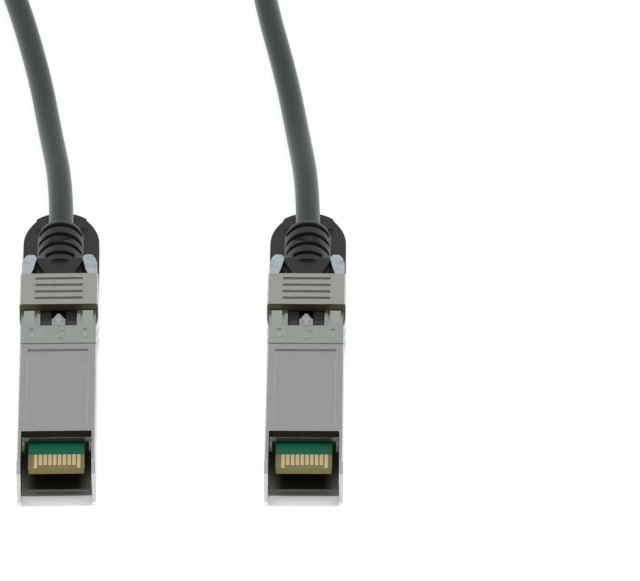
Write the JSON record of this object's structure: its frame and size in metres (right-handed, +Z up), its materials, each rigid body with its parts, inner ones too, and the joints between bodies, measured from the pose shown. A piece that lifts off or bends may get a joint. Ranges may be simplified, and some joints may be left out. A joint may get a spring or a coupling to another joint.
{
  "type": "direct attach copper cable",
  "caption": "Passive copper network cable with a die-cast pluggable connector, black release slider and grooved strain relief at each end, and its spare length in a coil.",
  "frame": {"origin": "on the floor, under the middle of the two plugs' box", "axes": "+Z up, with both plugs lying latch side up; +Y from the connector ends towards the cable; +X to the right when the connector ends face the viewer"},
  "size_m": [0.081, 0.254, 0.0098],
  "materials": {
    "die_cast": "satin nickel plate on a zinc die casting",
    "spring_sheet": "tin-plated spring sheet, satin",
    "circuit_board": "green solder mask on glass-epoxy",
    "gold": "hard gold plate",
    "chip_plastic": "moulded black epoxy with tinned leads",
    "ceramic": "brown ceramic",
    "core_insulation": "foil-wrapped cores",
    "ferrule_metal": "rolled steel sleeve",
    "cable_jacket": "matt dark grey PVC",
    "boot_plastic": "matt black moulded elastomer",
    "slider_plastic": "matt black moulded nylon",
    "spring_steel": "bright spring wire",
    "screw_steel": "zinc-plated steel"
  },
  "bodies": {
    "plugs": {"latch_shell_a": "die_cast", "cover_shell_a": "die_cast", "emi_collar_a": "spring_sheet", "paddle_card_a": "circuit_board", "contact_pads_a": "gold", "memory_chip_a": "chip_plastic", "coupling_capacitors_a": "ceramic", "wire_pairs_a": "core_insulation", "crimp_ferrule_a": "ferrule_metal", "jacket_end_a": "cable_jacket", "boot_a": "boot_plastic", "return_spring_a": "spring_steel", "shell_screws_a": "screw_steel", "latch_shell_b": "die_cast", "cover_shell_b": "die_cast", "emi_collar_b": "spring_sheet", "paddle_card_b": "circuit_board", "contact_pads_b": "gold", "memory_chip_b": "chip_plastic", "coupling_capacitors_b": "ceramic", "wire_pairs_b": "core_insulation", "crimp_ferrule_b": "ferrule_metal", "jacket_end_b": "cable_jacket", "boot_b": "boot_plastic", "return_spring_b": "spring_steel", "shell_screws_b": "screw_steel", "cable_tube_a": "cable_jacket", "cable_tube_b": "cable_jacket", "cable_coil": "cable_jacket"},
    "release_a": {"release_slider_a": "slider_plastic"},
    "release_b": {"release_slider_b": "slider_plastic"}
  },
  "joints": [
    {"name": "release_pull_a", "type": "slide", "parent": "plugs", "child": "release_a", "axis": [-0.0197, 0.9998, 0], "range_m": [0, 0.002], "stiffness_N_per_m": 300, "springref_m": -0.002, "deforming": ["return_spring_a"]},
    {"name": "release_pull_b", "type": "slide", "parent": "plugs", "child": "release_b", "axis": [0.0089, 1, 0], "range_m": [0, 0.002], "stiffness_N_per_m": 300, "springref_m": -0.002, "deforming": ["return_spring_b"]}
  ]
}
